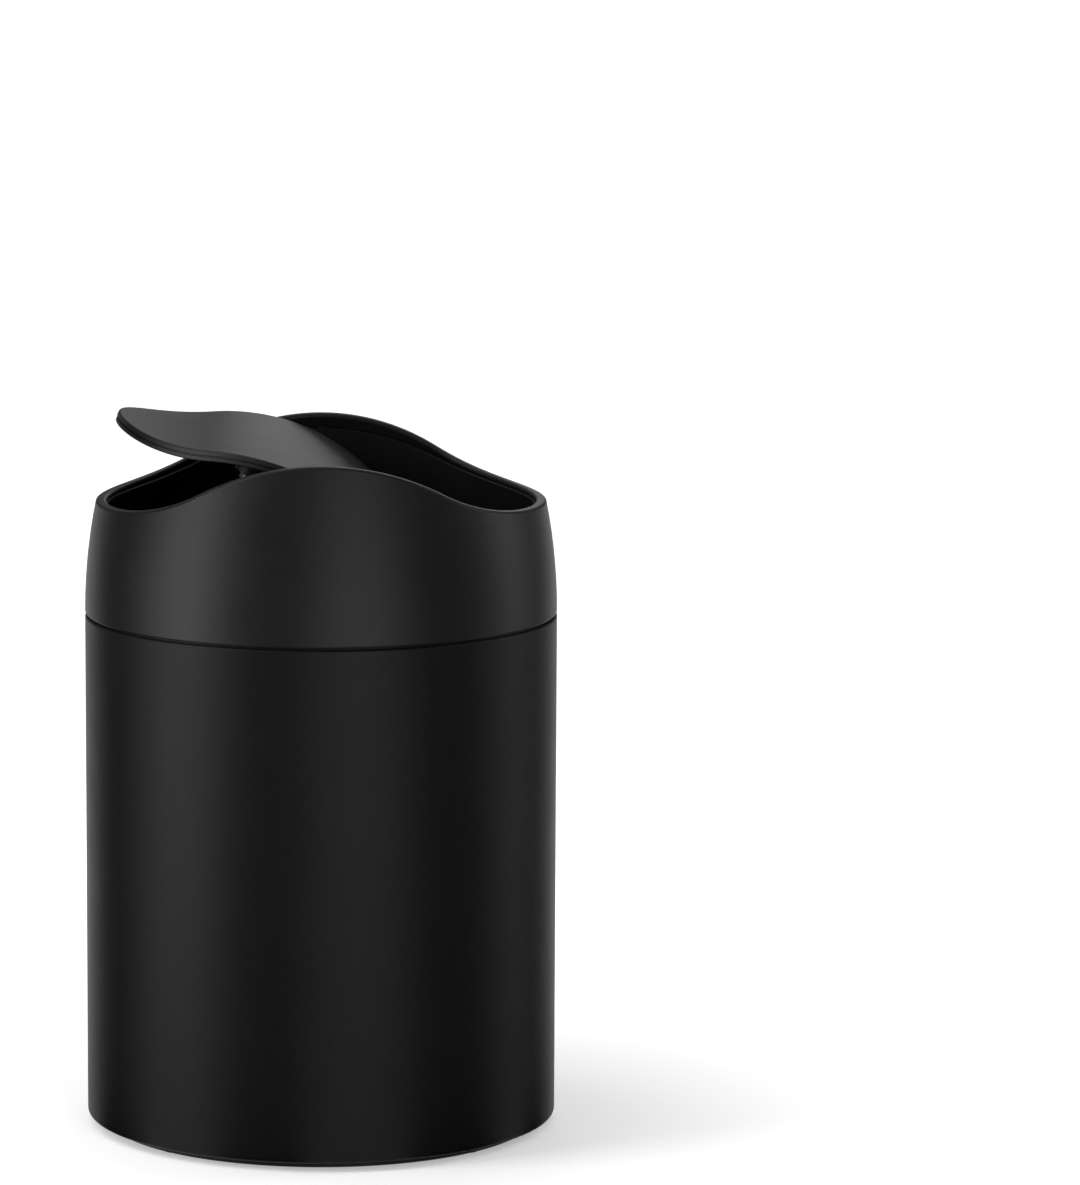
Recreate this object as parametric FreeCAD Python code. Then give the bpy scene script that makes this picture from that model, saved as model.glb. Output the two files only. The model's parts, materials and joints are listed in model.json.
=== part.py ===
import FreeCAD, Part
import math
import os

# Tabletop waste bin with a two-way swing flap, in millimetres.
# The origin is the middle of the base, on the table. Z is up, the front faces -Y,
# and the flap swings about an axis that runs front to back.

# Can wall
body_diameter = 122.0
wall_height = 131.55
wall_clear_height = 2.2
sheet = 0.7
bend_inside_radius = 0.5
hem_gap = 0.2
hem_height = 5.0
hem_round_share = 0.4

# Floor pan
pan_sheet = 0.7
pan_rim_width = 8.0
pan_rise = 2.5
pan_slope_width = 2.5
pan_clearance = 0.1

# Base ring and feet
ring_inset = 4.5
ring_seat = 3.0
ring_width = 9.0
ring_clip_clearance = 0.1
ring_edge_chamfer = 0.4
pad_diameter = 7.0
pad_thickness = 1.2
pad_proud = 0.3
pad_count = 4

# Lid collar: its side is an arc that starts upright at the seam
seam_gap = 0.6
collar_arc_radius = 143.0
collar_wall = 2.0
collar_edge_radius = 0.4
rim_crest_height = 44.6
rim_rise = 15.4
rim_crest_share = 0.53
lip_width = 2.8
lip_round_share = 0.3

# Pivot ring inside the collar
ring_clearance = 0.1
ledge_depth = 4.0
ledge_rise = 12.8
ledge_width = 3.6
side_ledge_width = 0.3
ring_wall = 1.6
web_thickness = 1.6
shoulder_inset = 0.8
plug_clearance = 0.4
plug_wall = 1.8
plug_depth = 12.0

# Soft band around the plug
seal_height = 3.0
seal_drop = 1.2
seal_groove_depth = 0.8
seal_clearance = 0.1
seal_round_share = 0.3

# Flap
flap_gap = 1.2
flap_drop = 5.55
cover_thickness = 1.2
cover_round_share = 0.4
groove_height = 0.5
groove_depth = 0.8
tray_skin = 1.1
tray_inset = 0.3
tray_round_share = 0.4

# Flap pivot
pivot_depth = 4.55
pin_diameter = 3.0
pin_play = 0.05
pin_chamfer = 0.3
pin_seat_length = 9.0
pin_end_gap = 0.4
bush_wall = 1.1
bush_length = 5.0
bush_flange_width = 1.4
bush_flange_thickness = 0.7
bearing_boss_wall = 1.6
hub_wall = 1.4

# Flap travel: tilt held in the rest pose, and the stops on either side of level
rest_tilt = 30.0
stop_angle = 75.0
stop_gap = 0.3
lug_near = 5.5
lug_far = 9.0
lug_end_gap = 0.4

# Weight box under the flap
spine_width = 18.0
spine_depth = 9.0
spine_floor = 1.4
spine_edge_radius = 2.0
hub_reach = 3.5
weight_width = 10.0
weight_length = 56.0
weight_height = 4.0
weight_play = 0.15
weight_screw_spacing = 36.0

# Screws, all self-tapping with pan heads
screw_diameter = 2.2
screw_head_diameter = 4.4
screw_head_height = 1.4
screw_grip = 4.0
screw_hole_play = 0.2
screw_tip_gap = 0.4
screw_recess_width = 1.1
screw_recess_depth = 0.7
boss_wall = 1.6
flap_boss_drop = 4.0
flap_cup_play = 0.15
flap_cup_wall = 1.3
flap_cup_floor = 1.2
flap_screw_x = 18.0
flap_screw_y = 28.0
ring_screw_angle = 25.0
ring_boss_height = 15.0
ring_boss_gap = 0.6
ring_boss_rib = 2.0

# Cutting tools run past the faces they cut by this much
overrun = 2.0

# Places closer than this count as the same place
near_enough = 0.002

# Places worked out from the sizes above
body_radius = body_diameter / 2
wall_top = wall_clear_height + wall_height
hem_thickness = 2 * sheet + hem_gap
hem_round = hem_thickness * hem_round_share
bend_radius = bend_inside_radius + sheet
flange_radius = body_radius - ring_inset - ring_seat
pan_bottom = wall_clear_height + sheet
base_ring_radius = body_radius - ring_inset
base_ring_bore = base_ring_radius - ring_width
collar_foot = wall_top + seam_gap
rim_crest = collar_foot + rim_crest_height
rim_low = rim_crest - rim_rise
ledge_crest = rim_crest - ledge_depth
flap_crest = rim_crest - flap_drop
pivot_height = flap_crest - pivot_depth
pin_radius = pin_diameter / 2
bush_bore = pin_radius + pin_play
bush_radius = bush_bore + bush_wall
flange_reach = bush_radius + bush_flange_width
bearing_boss_radius = bush_radius + bearing_boss_wall
hub_radius = pin_radius + hub_wall
plug_radius = body_radius - hem_thickness - plug_clearance
tray_top = cover_thickness + groove_height
flap_thickness = tray_top + tray_skin
screw_radius = screw_diameter / 2
screw_head_radius = screw_head_diameter / 2
screw_hole_radius = screw_radius + screw_hole_play
boss_radius = screw_radius + boss_wall
reach = body_radius + overrun
top_reach = rim_crest + overrun

Z_UP = FreeCAD.Vector(0, 0, 1)
Y_BACK = FreeCAD.Vector(0, 1, 0)
FRONT_AND_REAR = {"front": -1, "rear": 1}


def point(x, y, z):
    return FreeCAD.Vector(x, y, z)


def collar_radius(height):
    """Outer radius of the collar at a height above the table."""
    rise = height - collar_foot
    return body_radius - collar_arc_radius + math.sqrt(collar_arc_radius ** 2 - rise ** 2)


wave_half_span = collar_radius(rim_low)
bore_half_length = wave_half_span - lip_width - side_ledge_width
bore_half_width = collar_radius(ledge_crest) - lip_width - ledge_width
flap_half_length = bore_half_length - flap_gap
flap_half_width = bore_half_width - flap_gap
spine_half_length = flap_half_width - hub_reach


# Shared shapes

def disc(radius, low, high, x=0, y=0):
    return Part.makeCylinder(radius, high - low, point(x, y, low), Z_UP)


def tube(inner, outer, low, high):
    return disc(outer, low, high).cut(disc(inner, low - overrun, high + overrun))


def rod(radius, near, far, side):
    """Round bar on the flap's axis, from near to far on one side of the middle."""
    start = point(0, side * near, pivot_height)
    return Part.makeCylinder(radius, far - near, start, Y_BACK * side)


def box(half_x, half_y, low, high, x=0, y=0):
    corner = point(x - half_x, y - half_y, low)
    return Part.makeBox(2 * half_x, 2 * half_y, high - low, corner)


def line(start, end):
    return Part.LineSegment(start, end).toShape()


def arc(start, middle, end):
    return Part.Arc(start, middle, end).toShape()


def corner(centre_r, centre_z, radius, first, last):
    """Quarter round in the r-z plane, between two directions given in quarter turns from +r."""
    angles = [turns * math.pi / 2 for turns in (first, (first + last) / 2, last)]
    return arc(*[point(centre_r + radius * math.cos(angle), 0, centre_z + radius * math.sin(angle))
                 for angle in angles])


def turned(edges):
    """Solid of revolution of an outline in the r-z plane; gaps between edges become lines."""
    outline = []
    for edge, following in zip(edges, edges[1:] + edges[:1]):
        outline.append(edge)
        end = edge.Vertexes[-1].Point
        start = following.Vertexes[0].Point
        if not end.isEqual(start, near_enough):
            outline.append(line(end, start))
    return Part.Face(Part.Wire(outline)).revolve(point(0, 0, 0), Z_UP, 360)


def turned_polygon(points):
    """Solid of revolution of straight lines through (radius, height) points."""
    corners = [point(radius, 0, height) for radius, height in points]
    return Part.Face(Part.makePolygon(corners + corners[:1])).revolve(point(0, 0, 0), Z_UP, 360)


def collar_core(inset, high):
    """Everything inside the collar's outer arc, drawn in by inset, up to a height."""
    radius = collar_arc_radius - inset
    centre = body_radius - collar_arc_radius
    half_turn = math.asin((high - collar_foot) / radius) / 2
    start, middle, end = [point(centre + radius * math.cos(angle), 0, collar_foot + radius * math.sin(angle))
                          for angle in (0, half_turn, 2 * half_turn)]
    below = wall_top - overrun
    foot = point(start.x, 0, below)
    outline = [line(point(0, 0, below), foot), line(foot, start), arc(start, middle, end),
               line(end, point(0, 0, high)), line(point(0, 0, high), point(0, 0, below))]
    return Part.Face(Part.Wire(outline)).revolve(point(0, 0, 0), Z_UP, 360)


def oval(half_length, half_width, low, high):
    """Upright oval block, its length along X."""
    longer = max(half_length, half_width)
    shorter = min(half_length, half_width)
    outline = Part.Ellipse(point(0, 0, 0), longer, shorter).toShape()
    block = Part.Face(Part.Wire(outline)).extrude(Z_UP * (high - low))
    if half_width > half_length:
        block.rotate(point(0, 0, 0), Z_UP, 90)
    block.translate(Z_UP * low)
    return block


class Wave:
    """A crest between two troughs, drawn as three arcs that meet on a slope."""

    def __init__(self, crest, rise):
        self.crest = crest
        self.rise = rise
        self.slope = 2 * math.atan(rise / wave_half_span)
        both_radii = wave_half_span / math.sin(self.slope)
        self.crest_radius = both_radii * rim_crest_share
        self.trough_radius = both_radii - self.crest_radius

    def depth(self, x, z):
        """How far a point lies under the wave, measured square to it."""
        from_crest = z - self.crest + self.crest_radius
        if abs(x) < from_crest * math.tan(self.slope):
            return self.crest_radius - math.hypot(x, from_crest)
        from_trough = self.crest - self.rise + self.trough_radius - z
        across = max(wave_half_span - abs(x), 0)
        return math.hypot(across, from_trough) - self.trough_radius

    def edges(self, drop):
        """The wave from left to right, moved down square to itself by drop."""
        crest_radius = self.crest_radius - drop
        trough_radius = self.trough_radius + drop
        crest_centre = self.crest - self.crest_radius
        trough_centre = self.crest - self.rise + self.trough_radius
        low = self.crest - self.rise - drop
        meet_x = crest_radius * math.sin(self.slope)
        meet_z = crest_centre + crest_radius * math.cos(self.slope)
        half_x = wave_half_span - trough_radius * math.sin(self.slope / 2)
        half_z = trough_centre - trough_radius * math.cos(self.slope / 2)
        top = point(0, 0, self.crest - drop)
        left, right = [[point(side * reach, 0, low), point(side * wave_half_span, 0, low),
                        point(side * half_x, 0, half_z), point(side * meet_x, 0, meet_z)]
                       for side in (-1, 1)]
        return [line(left[0], left[1]), arc(left[1], left[2], left[3]), arc(left[3], top, right[3]),
                arc(right[3], right[2], right[1]), line(right[1], right[0])]

    def between(self, upper, lower):
        """Solid between two edge lists that both run from left to right."""
        ends = [line(lower[0].Vertexes[0].Point, upper[0].Vertexes[0].Point),
                line(lower[-1].Vertexes[-1].Point, upper[-1].Vertexes[-1].Point)]
        outline = Part.Wire(Part.__sortEdges__(upper + lower + ends))
        solid = Part.Face(outline).extrude(Y_BACK * (2 * reach))
        solid.translate(Y_BACK * -reach)
        return solid

    def below(self, drop=0):
        floor = [line(point(-reach, 0, 0), point(reach, 0, 0))]
        return self.between(self.edges(drop), floor)

    def above(self):
        ceiling = [line(point(-reach, 0, top_reach), point(reach, 0, top_reach))]
        return self.between(ceiling, self.edges(0))

    def slab(self, top_drop, bottom_drop):
        return self.between(self.edges(top_drop), self.edges(bottom_drop))


rim_wave = Wave(rim_crest, rim_rise)
ledge_wave = Wave(ledge_crest, ledge_rise)
flap_wave = Wave(flap_crest, rim_rise)


def joined(first, others):
    return first.multiFuse(others).removeSplitter()


def outline_edges(solid, wave, drop, shortest):
    """Edges that run along a wave at a drop, without the short ones that cross it."""
    found = []
    for edge in solid.Edges:
        middle = edge.valueAt((edge.FirstParameter + edge.LastParameter) / 2)
        on_wave = abs(wave.depth(middle.x, middle.z) - drop) < near_enough
        if on_wave and edge.Length > shortest:
            found.append(edge)
    return found


def screw(x, y, seat, length):
    """Pan-head screw that points up, with its head under the face at height seat."""
    head = disc(screw_head_radius, seat - screw_head_height, seat, x, y)
    shank = disc(screw_radius, seat, seat + length, x, y)
    recess_low = seat - screw_head_height - overrun
    recess_high = seat - screw_head_height + screw_recess_depth
    long_way = screw_head_radius - screw_recess_width / 2
    across = box(long_way, screw_recess_width / 2, recess_low, recess_high, x, y)
    along = box(screw_recess_width / 2, long_way, recess_low, recess_high, x, y)
    return head.fuse(shank).cut(across.fuse(along)).removeSplitter()


# Bin body

def make_body_shell():
    """Can wall: a hem at the top, and an edge turned in under the floor at the bottom."""
    inside = body_radius - sheet
    hem_inside = body_radius - hem_thickness
    under_hem = wall_top - hem_height
    outline = [
        corner(body_radius - bend_radius, wall_clear_height + bend_radius, bend_radius, 0, -1),
        line(point(flange_radius, 0, wall_clear_height), point(flange_radius, 0, pan_bottom)),
        corner(inside - bend_inside_radius, pan_bottom + bend_inside_radius, bend_inside_radius, -1, 0),
        line(point(inside, 0, under_hem), point(hem_inside, 0, under_hem)),
        corner(hem_inside + hem_round, wall_top - hem_round, hem_round, 2, 1),
        corner(body_radius - hem_round, wall_top - hem_round, hem_round, 1, 0),
    ]
    return turned(outline)


def make_body_floor():
    """Floor pan with a raised middle, resting on the turned-in edge of the wall."""
    outside = body_radius - sheet - bend_inside_radius - pan_clearance
    rim_inside = outside - pan_rim_width
    raised = rim_inside - pan_slope_width
    top = pan_bottom + pan_sheet
    return turned_polygon([
        (outside, pan_bottom), (outside, top), (rim_inside, top), (raised, top + pan_rise),
        (0, top + pan_rise), (0, pan_bottom + pan_rise), (raised, pan_bottom + pan_rise),
        (rim_inside, pan_bottom)])


def pad_places():
    circle = base_ring_radius - ring_width / 2
    turns = [2 * math.pi * (number + 1 / 2) / pad_count for number in range(pad_count)]
    return [(circle * math.cos(turn), circle * math.sin(turn)) for turn in turns]


def make_base_ring():
    """Base ring under the wall, centred by the wall's turned-in edge."""
    clip = flange_radius - ring_clip_clearance
    solid = turned_polygon([
        (base_ring_bore, pad_proud), (base_ring_radius - ring_edge_chamfer, pad_proud),
        (base_ring_radius, pad_proud + ring_edge_chamfer), (base_ring_radius, wall_clear_height),
        (clip, wall_clear_height), (clip, pan_bottom), (base_ring_bore, pan_bottom)])
    for x, y in pad_places():
        solid = solid.cut(disc(pad_diameter / 2, pad_proud - overrun, pad_thickness, x, y))
    return solid


def make_foot_pads():
    return Part.makeCompound([disc(pad_diameter / 2, 0, pad_thickness, x, y) for x, y in pad_places()])


# Lid

def ring_screw_places():
    """Screws stand between the flap opening and the collar, either side of front and rear."""
    angle = math.radians(ring_screw_angle)
    across = math.sin(angle) / (bore_half_length + ring_wall)
    along = math.cos(angle) / (bore_half_width + ring_wall)
    circle = 1 / math.hypot(across, along) + ring_boss_gap + boss_radius
    return [(side_x * circle * math.sin(angle), side_y * circle * math.cos(angle))
            for side_x in (-1, 1) for side_y in (-1, 1)]


web_top = wall_top + web_thickness


def make_lid_collar():
    """Outer collar: wavy rim with a rounded lip, and screw bosses inside."""
    lip_round = lip_width * lip_round_share
    shell = collar_core(0, top_reach).cut(collar_core(lip_width, top_reach + overrun))
    shell = shell.cut(box(reach, reach, 0, collar_foot))
    shell = shell.cut(rim_wave.above())
    shell = shell.makeFillet(lip_round, outline_edges(shell, rim_wave, 0, 2 * lip_width))
    rebate = collar_core(collar_wall, top_reach + overrun).common(ledge_wave.below(-ring_clearance))
    shell = shell.cut(rebate)
    foot_edge = [edge for edge in shell.Edges
                 if abs(edge.BoundBox.ZMax - collar_foot) < near_enough
                 and edge.BoundBox.XMax > body_radius - collar_wall / 2]
    shell = shell.makeFillet(collar_edge_radius, foot_edge)
    inside = collar_core(collar_wall / 2, top_reach)
    boss_top = web_top + ring_boss_height
    bosses = []
    for x, y in ring_screw_places():
        rib = box(body_radius / 2, ring_boss_rib / 2, web_top, boss_top, body_radius / 2)
        rib.rotate(point(0, 0, 0), Z_UP, math.degrees(math.atan2(y, x)))
        rib = rib.cut(disc(math.hypot(x, y), web_top - overrun, boss_top + overrun))
        boss = disc(boss_radius, web_top, boss_top, x, y).fuse(rib).common(inside)
        pilot = disc(screw_radius, web_top - overrun, web_top + screw_grip + screw_tip_gap, x, y)
        bosses.append(boss.cut(pilot))
    return joined(shell, bosses)


def make_pivot_ring():
    """Inner ring: ledge round the flap, bearings and stops, and the plug into the can."""
    envelope = collar_core(collar_wall + ring_clearance, top_reach).common(ledge_wave.below())
    bore = oval(bore_half_length, bore_half_width, 0, top_reach + overrun)
    wall = oval(bore_half_length + ring_wall, bore_half_width + ring_wall, wall_top, top_reach)
    ledge = ledge_wave.slab(0, ring_wall)
    web = disc(body_radius, wall_top, web_top)
    bearings = [rod(bearing_boss_radius, bore_half_width, body_radius, side) for side in (-1, 1)]
    ring = joined(wall, [ledge, web] + bearings).common(envelope)
    shoulder = disc(body_radius - shoulder_inset, wall_top, collar_foot)
    plug_foot = wall_top - plug_depth
    plug = disc(plug_radius, plug_foot, wall_top)
    plug = plug.cut(disc(plug_radius - plug_wall, 0, wall_top))
    ring = joined(ring, [shoulder, plug]).cut(bore)
    ring = joined(ring, [stop_lug(side) for side in (-1, 1)])
    for side in (-1, 1):
        ring = ring.cut(rod(bush_radius, bore_half_width - overrun, body_radius, side))
        ring = ring.cut(rod(flange_reach, bore_half_width - overrun, bore_half_width, side))
    for x, y in ring_screw_places():
        ring = ring.cut(disc(screw_hole_radius, wall_top - overrun, web_top + overrun, x, y))
        ring = ring.cut(disc(screw_head_radius + screw_hole_play, plug_foot - overrun, wall_top, x, y))
    seal_top = wall_top - seal_drop
    groove = tube(plug_radius - seal_groove_depth, body_radius, seal_top - seal_height, seal_top)
    return ring.cut(groove)


def stop_lug(side):
    """Wedge under the bearing on which the flap's underside lands at the stop angle."""
    turn = math.radians(stop_angle)
    curve = flap_wave.crest_radius - flap_thickness
    landing = pivot_depth - flap_thickness - curve + math.sqrt(curve ** 2 - lug_far ** 2)
    half_widths = [depth / math.tan(turn) + (landing - stop_gap) / math.sin(turn)
                   for depth in (lug_near, lug_far)]
    corners = [point(half_widths[0], 0, pivot_height - lug_near),
               point(half_widths[1], 0, pivot_height - lug_far),
               point(-half_widths[1], 0, pivot_height - lug_far),
               point(-half_widths[0], 0, pivot_height - lug_near)]
    near = spine_half_length + lug_end_gap
    far = bore_half_width + ring_wall / 2
    lug = Part.Face(Part.makePolygon(corners + corners[:1])).extrude(Y_BACK * side * (far - near))
    lug.translate(Y_BACK * side * near)
    return lug


def make_lid_seal():
    """Soft band in the plug's groove, rounded where it rubs on the hem."""
    inside = plug_radius - seal_groove_depth
    outside = plug_radius + plug_clearance - seal_clearance
    top = wall_top - seal_drop
    band = tube(inside, outside, top - seal_height, top)
    edges = [edge for edge in band.Edges
             if edge.BoundBox.ZLength < near_enough and edge.BoundBox.XMax > plug_radius]
    return band.makeFillet(seal_round_share * (outside - inside), edges)


def make_pivot_bush(side):
    """Flanged bush pressed into the ring from inside."""
    far = bore_half_width + bush_length
    flange = rod(flange_reach, bore_half_width - bush_flange_thickness, bore_half_width, side)
    body = rod(bush_radius, bore_half_width, far, side)
    bore = rod(bush_bore, bore_half_width - overrun, far + overrun, side)
    return flange.fuse(body).cut(bore).removeSplitter()


def make_ring_screws():
    length = web_thickness + screw_grip
    return Part.makeCompound([screw(x, y, wall_top, length) for x, y in ring_screw_places()])


# Flap, modelled level and then tilted to its rest pose

def tilted(shape):
    shape.rotate(point(0, 0, pivot_height), Y_BACK, rest_tilt)
    return shape


def flap_oval(inset):
    return oval(flap_half_length - inset, flap_half_width - inset, 0, top_reach)


def flap_screw_places():
    return [(side_x * flap_screw_x, side_y * flap_screw_y) for side_x in (-1, 1) for side_y in (-1, 1)]


flap_boss_end = pivot_height - flap_boss_drop
flap_cup_end = flap_boss_end - flap_cup_floor
weight_low = pivot_height - spine_depth + spine_floor


def make_flap_cover():
    """Wave-shaped top of the flap, with a rounded edge and screw bosses below."""
    cover = flap_wave.slab(0, cover_thickness).common(flap_oval(0))
    edges = outline_edges(cover, flap_wave, 0, 2 * cover_thickness)
    cover = cover.makeFillet(cover_round_share * cover_thickness, edges)
    under_skin = flap_wave.below(cover_thickness / 2)
    bosses = [disc(boss_radius, flap_boss_end, top_reach, x, y).common(under_skin)
              for x, y in flap_screw_places()]
    cover = joined(cover, bosses)
    for x, y in flap_screw_places():
        high = flap_boss_end + screw_grip + screw_tip_gap
        cover = cover.cut(disc(screw_radius, flap_boss_end - overrun, high, x, y))
    return tilted(cover)


def make_flap_tray():
    """Underside of the flap: a skin below the shadow groove, the weight box and the hubs."""
    under_cover = flap_wave.below(cover_thickness)
    skin = flap_wave.slab(tray_top, flap_thickness).common(flap_oval(tray_inset))
    lower_edges = outline_edges(skin, flap_wave, flap_thickness, 2 * tray_skin)
    skin = skin.makeFillet(tray_round_share * tray_skin, lower_edges)
    plinth = flap_wave.slab(cover_thickness, tray_top).common(flap_oval(groove_depth))
    spine = box(spine_width / 2, spine_half_length, pivot_height - spine_depth, flap_crest)
    long_edges = [edge for edge in spine.Edges
                  if edge.BoundBox.YLength > spine_half_length
                  and edge.BoundBox.ZMax < pivot_height]
    spine = spine.makeFillet(spine_edge_radius, long_edges).common(under_cover)
    hubs = [rod(hub_radius, spine_half_length - overrun, flap_half_width, side).common(under_cover)
            for side in (-1, 1)]
    cup_bore = boss_radius + flap_cup_play
    cups = [disc(cup_bore + flap_cup_wall, flap_cup_end, flap_crest, x, y).common(under_cover)
            for x, y in flap_screw_places()]
    tray = joined(skin, [plinth, spine] + hubs + cups)
    for x, y in flap_screw_places():
        tray = tray.cut(disc(cup_bore, flap_boss_end, top_reach, x, y))
        tray = tray.cut(disc(screw_hole_radius, flap_cup_end - overrun, top_reach, x, y))
    tray = tray.cut(box(weight_width / 2 + weight_play, weight_length / 2 + weight_play,
                        weight_low, top_reach))
    for y in weight_screw_places():
        tray = tray.cut(disc(screw_hole_radius, weight_low - spine_floor - overrun, weight_low + overrun, 0, y))
    for side in (-1, 1):
        tray = tray.cut(rod(pin_radius, pin_inner_end(), flap_half_width + overrun, side))
    return tilted(tray)


def pin_inner_end():
    return spine_half_length - pin_seat_length


def weight_screw_places():
    return [-weight_screw_spacing / 2, weight_screw_spacing / 2]


def make_pivot_pin(side):
    """Steel pin pressed into the flap's hub and turning in the bush."""
    pin = rod(pin_radius, pin_inner_end(), bore_half_width + bush_length - pin_end_gap, side)
    ends = [edge for edge in pin.Edges if edge.BoundBox.YLength < near_enough]
    return tilted(pin.makeChamfer(pin_chamfer, ends))


def make_flap_weight():
    """Steel bar in the box under the axis, so that the flap comes back to level."""
    bar = box(weight_width / 2, weight_length / 2, weight_low, weight_low + weight_height)
    for y in weight_screw_places():
        bar = bar.cut(disc(screw_radius, weight_low - overrun, weight_low + weight_height + overrun, 0, y))
    return tilted(bar)


def make_weight_screws():
    seat = weight_low - spine_floor
    length = spine_floor + weight_height - screw_tip_gap
    screws = [screw(0, y, seat, length) for y in weight_screw_places()]
    return tilted(Part.makeCompound(screws))


def make_flap_screws():
    length = flap_cup_floor + screw_grip
    screws = [screw(x, y, flap_cup_end, length) for x, y in flap_screw_places()]
    return tilted(Part.makeCompound(screws))


nodes = {
    "body_shell": make_body_shell(),
    "body_floor": make_body_floor(),
    "base_ring": make_base_ring(),
    "foot_pads": make_foot_pads(),
    "lid_collar": make_lid_collar(),
    "pivot_ring": make_pivot_ring(),
    "lid_seal": make_lid_seal(),
    "ring_screws": make_ring_screws(),
    "flap_cover": make_flap_cover(),
    "flap_tray": make_flap_tray(),
    "flap_weight": make_flap_weight(),
    "weight_screws": make_weight_screws(),
    "flap_screws": make_flap_screws(),
}
for name, side in FRONT_AND_REAR.items():
    nodes[name + "_pivot_bush"] = make_pivot_bush(side)
    nodes[name + "_pivot_pin"] = make_pivot_pin(side)

os.makedirs("parts", exist_ok=True)
for name, shape in nodes.items():
    shape.exportStep(os.path.join("parts", name + ".step"))
    print(name, len(shape.Solids), "solids", shape.isValid(), round(shape.Volume, 1))
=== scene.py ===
import json
import math

import bmesh
import bpy
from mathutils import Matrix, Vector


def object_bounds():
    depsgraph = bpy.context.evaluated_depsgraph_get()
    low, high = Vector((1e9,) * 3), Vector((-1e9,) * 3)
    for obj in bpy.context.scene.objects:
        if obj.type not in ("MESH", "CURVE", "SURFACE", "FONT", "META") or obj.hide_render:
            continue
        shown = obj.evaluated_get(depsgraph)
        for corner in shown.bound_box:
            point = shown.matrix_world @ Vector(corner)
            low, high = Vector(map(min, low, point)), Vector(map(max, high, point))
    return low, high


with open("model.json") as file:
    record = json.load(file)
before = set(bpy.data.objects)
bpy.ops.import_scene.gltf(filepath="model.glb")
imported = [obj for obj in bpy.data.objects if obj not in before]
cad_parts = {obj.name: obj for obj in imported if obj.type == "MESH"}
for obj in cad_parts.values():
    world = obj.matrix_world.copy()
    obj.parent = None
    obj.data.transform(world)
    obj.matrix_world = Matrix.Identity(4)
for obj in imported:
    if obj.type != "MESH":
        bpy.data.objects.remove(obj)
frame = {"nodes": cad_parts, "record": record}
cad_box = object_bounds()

# Looks of the tabletop waste bin. Lengths are in metres, in the frame of the CAD model.
# Colours are linear red, green and blue, with alpha.
BIN_RADIUS = cad_box[1][0]
WHITE = (1, 1, 1, 1)
QUARTER_TURN_DEG = 90

# Camera, as fitted to the photograph's outline of the can
PHOTO_WIDTH = 1080
PHOTO_HEIGHT = 1185
FOCAL_PIXELS = 6357.3
AXIS_PIXEL = (321.1, 652.66)
CAMERA_PLACE = (0.0, -1.6228, 0.39494)
CAMERA_PITCH_DEG = 9.51
SENSOR_MM = 36.0

# World and floor. The floor glows towards white, which is painted light, by the first amount up to
# the first distance from the bin's middle, and by the second amount from the second distance on.
# The weaker glow near the bin is painted shade round its foot, and it also shows in the bin's
# reflection of the floor.
WORLD_STRENGTH = 0.2
FLOOR_RADIUS = 9.0
FLOOR_CORNERS = 128
FLOOR_COLOUR = (0.7, 0.7, 0.7, 1)
FLOOR_PAINTED_GLOW = (0.37, 0.88)
FLOOR_PAINTED_GLOW_DISTANCES = (0.07, 0.30)

# Softboxes that stand round the bin: bearing in degrees from the camera's side (right is positive),
# distance, low edge, high edge, width, radiance
SOFTBOXES = {
    "left_softbox": (-64, 0.42, 0.00, 0.14, 0.19, 5.2),
    "left_high_softbox": (-64, 0.42, 0.14, 0.60, 0.19, 6.2),
    "front_softbox": (17, 0.45, 0.00, 0.50, 0.22, 2.55),
    "right_softbox": (97, 0.45, 0.00, 0.15, 0.15, 1.0),
    "right_high_softbox": (97, 0.45, 0.15, 0.60, 0.15, 3.6),
    "back_softbox": (173, 0.50, 0.00, 0.32, 0.16, 1.1),
}

# Softboxes that hang above and face the bin's foot: place, side, radiance
OVERHEADS = {
    "overhead_softbox": ((-0.45, 0.10, 1.10), 0.8, 2.0),
    "top_back_softbox": ((0.15, 0.80, 1.20), 0.8, 1.6),
}

# Black cards that show only as dark bands between the mirrored softboxes, which is painted shade in
# the bin's reflections: first and last bearing.
# Each has a strip along the floor, whose end near the can has a share of the card's bearings; the
# strip paints shade into the reflection at the can's foot.
CARDS = {
    "left_front_card": (-42, -6),
    "right_front_card": (36, 80),
    "left_back_card": (-119, -80),
    "right_back_card": (97, 121),
}
CARD_DISTANCE = 0.15
CARD_HEIGHT = 0.40
CARD_STRIP_GAP = 0.001
CARD_STRIP_START = BIN_RADIUS + CARD_STRIP_GAP
CARD_STRIP_HEIGHT = 0.0004
CARD_STRIP_TURN_SHARE = 0.61
CARD_COLOURS = ((0.002, 0.002, 0.002, 1), (0.004, 0.004, 0.004, 1))
CARD_PILE_SIZE = 0.002
CARD_PILE_STOPS = (0.3, 0.7)

# Noise: its usual fineness, and the middle range that most of it lies in
NOISE_DETAIL = 2.0
NOISE_MIDDLE = (0.35, 0.65)

# Powder coat of the can: colours in and between its flecks
COAT_COLOURS = ((0.0045, 0.0045, 0.0046, 1), (0.0026, 0.0026, 0.0027, 1))
COAT_FLECK_STOPS = (0.10, 0.35)
COAT_SPECULAR = 0.13
COAT_ROUGHNESS = (0.48, 0.50)
COAT_CLOUD_SIZE = 0.012
COAT_CLOUD_DETAIL = 4
COAT_PEEL_SIZE = 0.0022
COAT_PEEL_DEPTH = 0.00003
COAT_GRAIN_SIZE = 0.0005
COAT_GRAIN_DETAIL = 3
COAT_GRAIN_DEPTH = 0.00002

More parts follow.
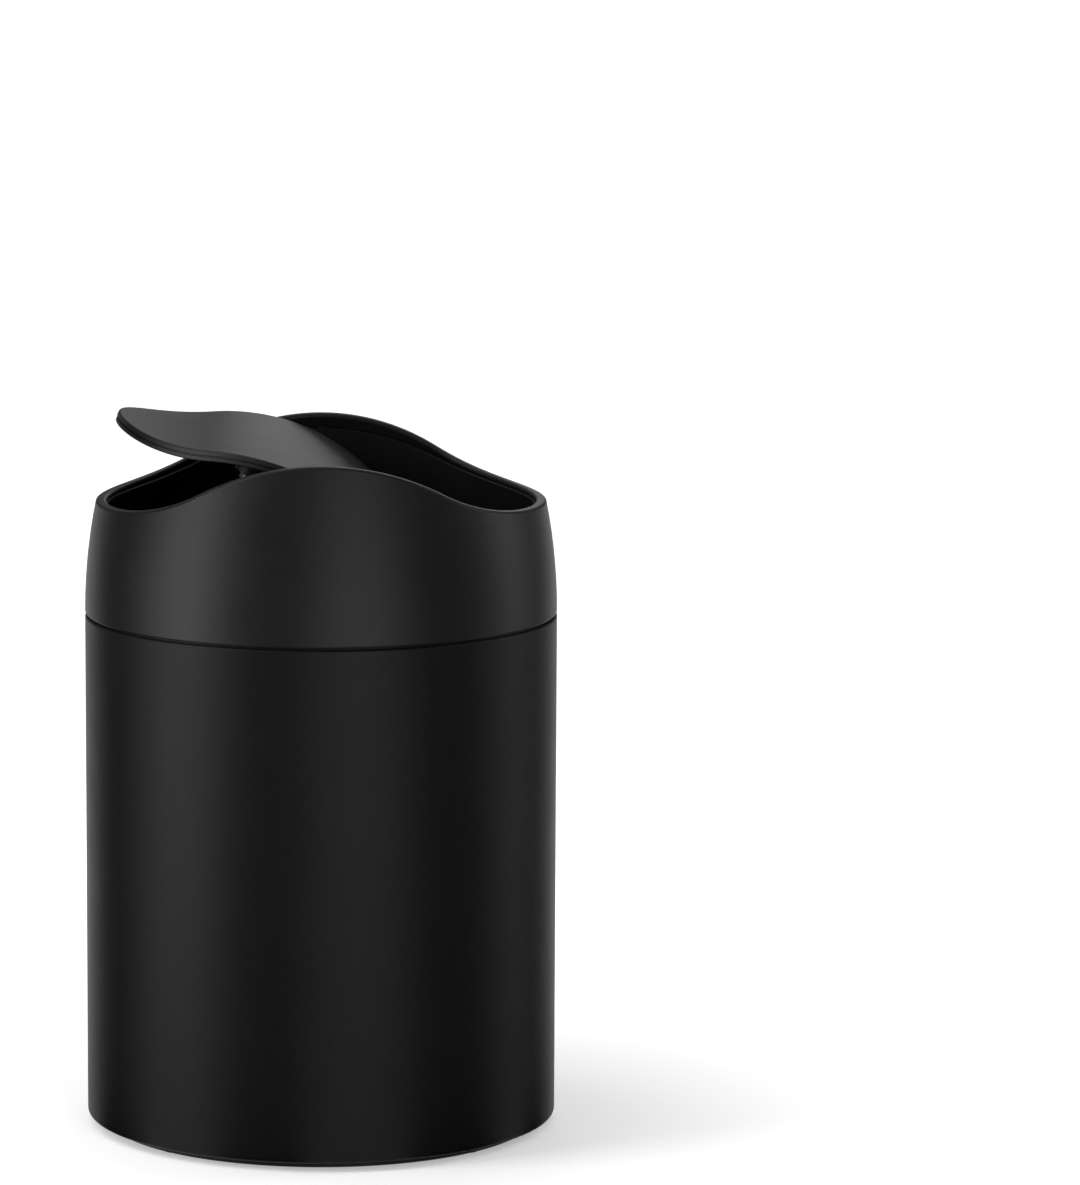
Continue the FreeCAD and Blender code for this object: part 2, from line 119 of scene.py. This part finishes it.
# Moulded plastics by slot: colours between and in their clouds, and the depth of their pitted skin
BLACK_COLOURS = ((0.0030, 0.0030, 0.0031, 1), (0.0045, 0.0045, 0.0046, 1))
BUSH_COLOURS = ((0.03, 0.03, 0.03, 1), (0.04, 0.04, 0.04, 1))
PLASTICS = {
    "lid_plastic": {
        "name": "satin_black_plastic", "colours": BLACK_COLOURS,
        "specular": 0.20, "roughness": (0.44, 0.46), "depth": 0.00002,
    },
    "ring_plastic": {
        "name": "matte_black_plastic", "colours": BLACK_COLOURS,
        "specular": 0.08, "roughness": (0.46, 0.56), "depth": 0.00003,
    },
    "base_plastic": {
        "name": "base_black_plastic", "colours": BLACK_COLOURS,
        "specular": 0.20, "roughness": (0.5, 0.6), "depth": 0.00003,
    },
    "bush_plastic": {
        "name": "smooth_black_plastic", "colours": BUSH_COLOURS,
        "specular": 0.4, "roughness": (0.2, 0.28), "depth": 0.00001,
    },
}
PLASTIC_CLOUD_SIZE = 0.02
PLASTIC_CLOUD_DETAIL = 5
PLASTIC_CLOUD_STOPS = (0.35, 0.70)
PLASTIC_PIT_SIZE = 0.00035
PLASTIC_FINE_SHARE = 0.5

# Rubber of the foot pads and the seal: colours between and in its bloom
RUBBER_COLOURS = ((0.012, 0.012, 0.012, 1), (0.035, 0.034, 0.033, 1))
RUBBER_SPECULAR = 0.20
RUBBER_ROUGHNESS = (0.7, 0.9)
RUBBER_BLOOM_SIZE = 0.003
RUBBER_BLOOM_DETAIL = 6
RUBBER_BLOOM_STOPS = (0.4, 0.8)
RUBBER_GRAIN_SIZE = 0.0004
RUBBER_GRAIN_DEPTH = 0.00003

# Zinc plating of the pins and the weight: colours in the middle and at the edge of its blotches
ZINC_COLOURS = ((0.62, 0.62, 0.63, 1), (0.52, 0.53, 0.55, 1))
ZINC_ROUGHNESS = (0.26, 0.42)
ZINC_BLOTCH_SIZE = 0.0018
ZINC_BLOTCH_STOPS = (0.1, 0.7)
ZINC_CLOUD_SIZE = 0.0012
ZINC_CLOUD_DETAIL = 4
ZINC_LINE_SIZE = 0.0004
ZINC_LINE_STRETCH = (1, 0.08, 1)
ZINC_LINE_DEPTH = 0.00001

# Black oxide of the screws: colours between and in its blotches
OXIDE_COLOURS = ((0.018, 0.018, 0.019, 1), (0.034, 0.032, 0.031, 1))
OXIDE_ROUGHNESS = (0.34, 0.48)
OXIDE_BLOTCH_SIZE = 0.0011
OXIDE_BLOTCH_DETAIL = 5
OXIDE_BLOTCH_STOPS = (0.35, 0.75)
OXIDE_GRAIN_SIZE = 0.0003
OXIDE_GRAIN_DEPTH = 0.00001


# Material helpers

def new_material(name):
    material = bpy.data.materials.new(name)
    material.use_nodes = True
    return material, material.node_tree.nodes["Principled BSDF"]


def add(material, kind, **settings):
    """New node with its inputs or properties set by name."""
    node = material.node_tree.nodes.new(kind)
    for name, value in settings.items():
        if name in node.inputs:
            node.inputs[name].default_value = value
        else:
            setattr(node, name, value)
    return node


def link(material, source, target):
    material.node_tree.links.new(source, target)


def combine(material, operation, first, second):
    """Result of an operation on two values."""
    node = add(material, "ShaderNodeMath", operation=operation)
    link(material, first, node.inputs[0])
    link(material, second, node.inputs[1])
    return node.outputs[0]


def grain(material, size, detail=NOISE_DETAIL, stretch=(1, 1, 1)):
    """Noise in the piece's own coordinates, with blotches of about the given size."""
    place = add(material, "ShaderNodeTexCoord")
    mapping = add(material, "ShaderNodeMapping", Scale=stretch)
    noise = add(material, "ShaderNodeTexNoise", Scale=1 / size, Detail=detail)
    link(material, place.outputs["Object"], mapping.inputs["Vector"])
    link(material, mapping.outputs["Vector"], noise.inputs["Vector"])
    return noise.outputs["Fac"]


def cells(material, size):
    """Distance to the nearest of a scatter of points about the given size apart."""
    place = add(material, "ShaderNodeTexCoord")
    voronoi = add(material, "ShaderNodeTexVoronoi", Scale=1 / size)
    link(material, place.outputs["Object"], voronoi.inputs["Vector"])
    return voronoi.outputs["Distance"]


def blend(material, factor, stops, colours):
    """First colour up to the first stop of the factor, second colour from the second stop on."""
    node = add(material, "ShaderNodeValToRGB")
    for element, stop, colour in zip(node.color_ramp.elements, stops, colours):
        element.position = stop
        element.color = colour
    link(material, factor, node.inputs["Fac"])
    return node.outputs["Color"]


def spread(material, factor, span, source=NOISE_MIDDLE):
    """The factor's source range stretched over the span."""
    node = add(material, "ShaderNodeMapRange")
    for name, value in zip(("From Min", "From Max", "To Min", "To Max"), (*source, *span)):
        node.inputs[name].default_value = value
    link(material, factor, node.inputs["Value"])
    return node.outputs["Result"]


def bumps(material, layers):
    """Normal bent by pairs of height field and depth, the first one lowest."""
    normal = None
    for height, depth in layers:
        node = add(material, "ShaderNodeBump", Strength=1.0, Distance=depth)
        link(material, height, node.inputs["Height"])
        if normal:
            link(material, normal, node.inputs["Normal"])
        normal = node.outputs["Normal"]
    return normal


def wire_up(material, shader, colour, roughness, layers):
    """The material, with its colour, roughness and bump layers joined to its shader."""
    link(material, colour, shader.inputs["Base Color"])
    link(material, roughness, shader.inputs["Roughness"])
    link(material, bumps(material, layers), shader.inputs["Normal"])
    return material


# Finishes, one per material slot of the record

def coated_steel():
    """Black powder coat: fine grain over a soft orange peel, with faint flecks."""
    material, shader = new_material("black_powder_coat")
    shader.inputs["Specular IOR Level"].default_value = COAT_SPECULAR
    flecks = cells(material, COAT_GRAIN_SIZE)
    clouds = grain(material, COAT_CLOUD_SIZE, COAT_CLOUD_DETAIL)
    peel = grain(material, COAT_PEEL_SIZE)
    grit = grain(material, COAT_GRAIN_SIZE, COAT_GRAIN_DETAIL)
    colour = blend(material, flecks, COAT_FLECK_STOPS, COAT_COLOURS)
    roughness = spread(material, clouds, COAT_ROUGHNESS)
    layers = ((peel, COAT_PEEL_DEPTH), (grit, COAT_GRAIN_DEPTH))
    return wire_up(material, shader, colour, roughness, layers)


def moulded_plastic(name, colours, specular, roughness, depth):
    """Black plastic with a spark-eroded skin of two sizes of pit, and faint clouds of gloss."""
    material, shader = new_material(name)
    shader.inputs["Specular IOR Level"].default_value = specular
    clouds = grain(material, PLASTIC_CLOUD_SIZE, PLASTIC_CLOUD_DETAIL)
    pits = cells(material, PLASTIC_PIT_SIZE)
    fine_pits = grain(material, PLASTIC_PIT_SIZE * PLASTIC_FINE_SHARE)
    colour = blend(material, clouds, PLASTIC_CLOUD_STOPS, colours)
    gloss = spread(material, clouds, roughness)
    layers = ((pits, depth), (fine_pits, depth * PLASTIC_FINE_SHARE))
    return wire_up(material, shader, colour, gloss, layers)


def soft_rubber():
    """Dull black rubber with a dusty bloom."""
    material, shader = new_material("soft_rubber")
    shader.inputs["Specular IOR Level"].default_value = RUBBER_SPECULAR
    bloom = grain(material, RUBBER_BLOOM_SIZE, RUBBER_BLOOM_DETAIL)
    colour = blend(material, bloom, RUBBER_BLOOM_STOPS, RUBBER_COLOURS)
    roughness = spread(material, bloom, RUBBER_ROUGHNESS)
    grit = grain(material, RUBBER_GRAIN_SIZE)
    return wire_up(material, shader, colour, roughness, ((grit, RUBBER_GRAIN_DEPTH),))


def bright_steel():
    """Zinc-plated steel: pale blotches of plating over fine drawn lines."""
    material, shader = new_material("zinc_plated_steel")
    shader.inputs["Metallic"].default_value = 1
    plating = cells(material, ZINC_BLOTCH_SIZE)
    clouds = grain(material, ZINC_CLOUD_SIZE, ZINC_CLOUD_DETAIL)
    lines = grain(material, ZINC_LINE_SIZE, stretch=ZINC_LINE_STRETCH)
    colour = blend(material, plating, ZINC_BLOTCH_STOPS, ZINC_COLOURS)
    roughness = spread(material, clouds, ZINC_ROUGHNESS)
    return wire_up(material, shader, colour, roughness, ((lines, ZINC_LINE_DEPTH),))


def black_steel():
    """Black oxide on steel: dark and oily, with faint brown-grey blotches."""
    material, shader = new_material("black_oxide_steel")
    blotches = grain(material, OXIDE_BLOTCH_SIZE, OXIDE_BLOTCH_DETAIL)
    colour = blend(material, blotches, OXIDE_BLOTCH_STOPS, OXIDE_COLOURS)
    roughness = spread(material, blotches, OXIDE_ROUGHNESS)
    grit = grain(material, OXIDE_GRAIN_SIZE)
    return wire_up(material, shader, colour, roughness, ((grit, OXIDE_GRAIN_DEPTH),))


def make_finishes():
    finishes = {slot: moulded_plastic(**look) for slot, look in PLASTICS.items()}
    finishes["coated_steel"] = coated_steel()
    finishes["soft_rubber"] = soft_rubber()
    finishes["bright_steel"] = bright_steel()
    finishes["black_steel"] = black_steel()
    return finishes


def dress_nodes():
    finishes = make_finishes()
    for subpart in frame["record"]["subparts"]:
        mesh = frame["nodes"][subpart["node"]].data
        mesh.materials.clear()
        mesh.materials.append(finishes[subpart["material_slot"]])


# Stage

def put(name, data):
    """New object in the scene."""
    item = bpy.data.objects.new(name, data)
    bpy.context.scene.collection.objects.link(item)
    return item


def place_round(turn, distance, height):
    """Point at a turn round the bin from the camera's side."""
    return (distance * math.sin(turn), -distance * math.cos(turn), height)


def seen_or_mirrored(material):
    """One for rays from the camera, a reflection or glass, and nought for the others."""
    rays = add(material, "ShaderNodeLightPath").outputs
    mirrored = combine(material, "MAXIMUM", rays["Is Glossy Ray"], rays["Is Transmission Ray"])
    return combine(material, "MAXIMUM", rays["Is Camera Ray"], mirrored)


def floor_material():
    """Pale floor that keeps the shadow, and glows towards white where it is seen or mirrored:
    painted light, weaker near the bin, where it paints shade round the foot.
    """
    material, shader = new_material("pale_floor")
    material.node_tree.nodes.remove(shader)
    place = add(material, "ShaderNodeTexCoord")
    away = add(material, "ShaderNodeVectorMath", operation="LENGTH")
    link(material, place.outputs["Object"], away.inputs[0])
    # Painted light: the floor's glow, kept weaker near the bin so that it paints shade round the
    # foot
    painted_glow = spread(material, away.outputs["Value"], FLOOR_PAINTED_GLOW, FLOOR_PAINTED_GLOW_DISTANCES)
    glow = add(material, "ShaderNodeEmission", Color=WHITE)
    strength = combine(material, "MULTIPLY", seen_or_mirrored(material), painted_glow)
    link(material, strength, glow.inputs["Strength"])
    paint = add(material, "ShaderNodeBsdfDiffuse", Color=FLOOR_COLOUR)
    both = add(material, "ShaderNodeAddShader")
    link(material, paint.outputs[0], both.inputs[0])
    link(material, glow.outputs[0], both.inputs[1])
    link(material, both.outputs[0], material.node_tree.nodes["Material Output"].inputs["Surface"])
    return material


def make_floor():
    outline = bmesh.new()
    bmesh.ops.create_circle(outline, cap_ends=True, segments=FLOOR_CORNERS, radius=FLOOR_RADIUS)
    mesh = bpy.data.meshes.new("floor")
    outline.to_mesh(mesh)
    outline.free()
    mesh.materials.append(floor_material())
    floor = put("floor", mesh)


def make_world():
    world = bpy.data.worlds.new("studio")
    world.use_nodes = True
    background = world.node_tree.nodes["Background"]
    background.inputs["Color"].default_value = WHITE
    background.inputs["Strength"].default_value = WORLD_STRENGTH
    bpy.context.scene.world = world


def softbox(name, width, height, radiance):
    """Area lamp whose power follows from its size and radiance. The camera doesn't see it."""
    light = bpy.data.lights.new(name, "AREA")
    light.shape = "RECTANGLE"
    light.size = width
    light.size_y = height
    light.energy = radiance * math.pi * width * height
    lamp = put(name, light)
    lamp.visible_camera = False
    return lamp


def make_lights():
    for name, (bearing, distance, low, high, width, radiance) in SOFTBOXES.items():
        lamp = softbox(name, width, high - low, radiance)
        lamp.location = place_round(math.radians(bearing), distance, (low + high) / 2)
        lamp.rotation_euler = (math.radians(QUARTER_TURN_DEG), 0, math.radians(bearing))
    for name, (place, side, radiance) in OVERHEADS.items():
        lamp = softbox(name, side, side, radiance)
        lamp.location = place
        lamp.rotation_euler = (-lamp.location).to_track_quat("-Z", "Y").to_euler()


def painted_shade_card_material():
    """Black felt that mirrors nothing; it is seen only in reflections, where it paints dark bands
    of shade on the bin.
    """
    material, shader = new_material("black_card")
    shader.inputs["Specular IOR Level"].default_value = 0
    pile = grain(material, CARD_PILE_SIZE)
    colour = blend(material, pile, CARD_PILE_STOPS, CARD_COLOURS)
    link(material, colour, shader.inputs["Base Color"])
    return material


def make_cards():
    """Upright cards with a strip along the floor towards the bin. Only mirrored rays meet them, so
    they paint shade into the bin's reflections.
    """
    painted_shade_felt = painted_shade_card_material()
    for name, bearings in CARDS.items():
        turns = [math.radians(bearing) for bearing in bearings]
        # The floor strips paint shade into the reflection at the can's foot
        near_turns = [turn * CARD_STRIP_TURN_SHARE for turn in turns]
        near = [place_round(turn, CARD_STRIP_START, CARD_STRIP_HEIGHT) for turn in near_turns]
        bend = [place_round(turn, CARD_DISTANCE, CARD_STRIP_HEIGHT) for turn in turns]
        top = [place_round(turn, CARD_DISTANCE, CARD_HEIGHT) for turn in turns]
        mesh = bpy.data.meshes.new(name)
        mesh.from_pydata(near + bend + top, [], [(0, 1, 3, 2), (2, 3, 5, 4)])
        mesh.materials.append(painted_shade_felt)
        card = put(name, mesh)
        card.visible_camera = False
        card.visible_diffuse = False
        card.visible_transmission = False
        card.visible_shadow = False


def make_camera():
    camera = put("camera", bpy.data.cameras.new("camera"))
    camera.location = CAMERA_PLACE
    camera.rotation_euler = (math.radians(QUARTER_TURN_DEG - CAMERA_PITCH_DEG), 0, 0)
    camera.data.sensor_width = SENSOR_MM
    camera.data.lens = SENSOR_MM * FOCAL_PIXELS / PHOTO_HEIGHT
    camera.data.shift_x = (PHOTO_WIDTH / 2 - AXIS_PIXEL[0]) / PHOTO_HEIGHT
    camera.data.shift_y = (AXIS_PIXEL[1] - PHOTO_HEIGHT / 2) / PHOTO_HEIGHT
    bpy.context.scene.camera = camera


dress_nodes()
make_floor()
make_world()
make_lights()
make_cards()
make_camera()
bpy.context.scene.view_settings.view_transform = "Standard"
